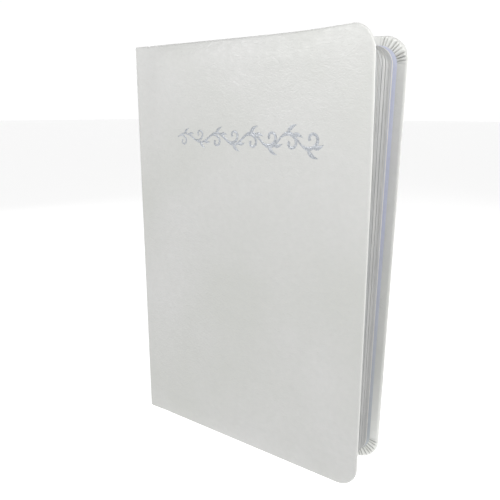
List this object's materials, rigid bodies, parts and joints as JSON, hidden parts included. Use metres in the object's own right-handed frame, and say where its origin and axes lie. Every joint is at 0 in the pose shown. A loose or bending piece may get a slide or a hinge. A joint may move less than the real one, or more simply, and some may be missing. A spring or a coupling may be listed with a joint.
{
  "type": "limp-bound devotional book",
  "caption": "Slim upright book in soft white imitation leather with rounded corners, silvered page edges, lilac endpapers and a plain silver foil ornament on the front cover.",
  "frame": {"origin": "on the ground under the middle of the book, which stands upright on the tail edges of its covers", "axes": "+X from the spine to the fore-edge, +Y from the front cover to the back cover, +Z from tail to head"},
  "size_m": [0.14, 0.0406, 0.21],
  "materials": {
    "leather": "satin",
    "board": "matte",
    "infill": "matte",
    "endpaper": "satin",
    "pages": "satin",
    "mull": "matte",
    "thread": "matte",
    "headband": "satin",
    "foil": "gloss"
  },
  "bodies": {
    "rear_half": {"gathering_11": "pages", "gathering_12": "pages", "gathering_13": "pages", "gathering_14": "pages", "gathering_15": "pages", "gathering_16": "pages", "gathering_17": "pages", "gathering_18": "pages", "gathering_19": "pages", "gathering_20": "pages", "back_endpaper_strip": "endpaper", "back_spine_leather": "leather", "back_spine_inlay": "board", "back_spine_mull": "mull", "back_sewing_thread": "thread", "back_headband": "headband", "back_tailband": "headband"},
    "front_half": {"gathering_01": "pages", "gathering_02": "pages", "gathering_03": "pages", "gathering_04": "pages", "gathering_05": "pages", "gathering_06": "pages", "gathering_07": "pages", "gathering_08": "pages", "gathering_09": "pages", "gathering_10": "pages", "front_endpaper_strip": "endpaper", "front_spine_leather": "leather", "front_spine_inlay": "board", "front_spine_mull": "mull", "front_sewing_thread": "thread", "front_headband": "headband", "front_tailband": "headband"},
    "front_flyleaf": {"front_flyleaf": "endpaper"},
    "front_cover": {"front_cover_skin": "leather", "front_cover_board": "board", "front_cover_infill": "infill", "front_cover_pastedown": "endpaper", "front_foil_sprig": "foil"},
    "back_flyleaf": {"back_flyleaf": "endpaper"},
    "back_cover": {"back_cover_skin": "leather", "back_cover_board": "board", "back_cover_infill": "infill", "back_cover_pastedown": "endpaper"}
  },
  "joints": [
    {"name": "spine_fold", "type": "hinge", "parent": "rear_half", "child": "front_half", "pos_m": [-0.07, -0.005, 0.105], "axis": [0, 0, -1], "range_deg": [0, 110]},
    {"name": "front_cover_hinge", "type": "hinge", "parent": "front_half", "child": "front_cover", "pos_m": [-0.066, -0.0178, 0.105], "axis": [0, 0, -1], "range_deg": [0, 130]},
    {"name": "front_flyleaf_fold", "type": "hinge", "parent": "front_half", "child": "front_flyleaf", "pos_m": [-0.06, -0.0153, 0.105], "axis": [0, 0, -1], "range_deg": [0, 52]},
    {"name": "back_cover_hinge", "type": "hinge", "parent": "rear_half", "child": "back_cover", "pos_m": [-0.066, 0.0078, 0.105], "axis": [0, 0, 1], "range_deg": [0, 100]},
    {"name": "back_flyleaf_fold", "type": "hinge", "parent": "rear_half", "child": "back_flyleaf", "pos_m": [-0.06, 0.0053, 0.105], "axis": [0, 0, 1], "range_deg": [0, 40]}
  ],
  "couplings": [
    {"joint": "front_flyleaf_fold", "follows": "front_cover_hinge", "ratio": 0.4},
    {"joint": "back_flyleaf_fold", "follows": "back_cover_hinge", "ratio": 0.4}
  ]
}
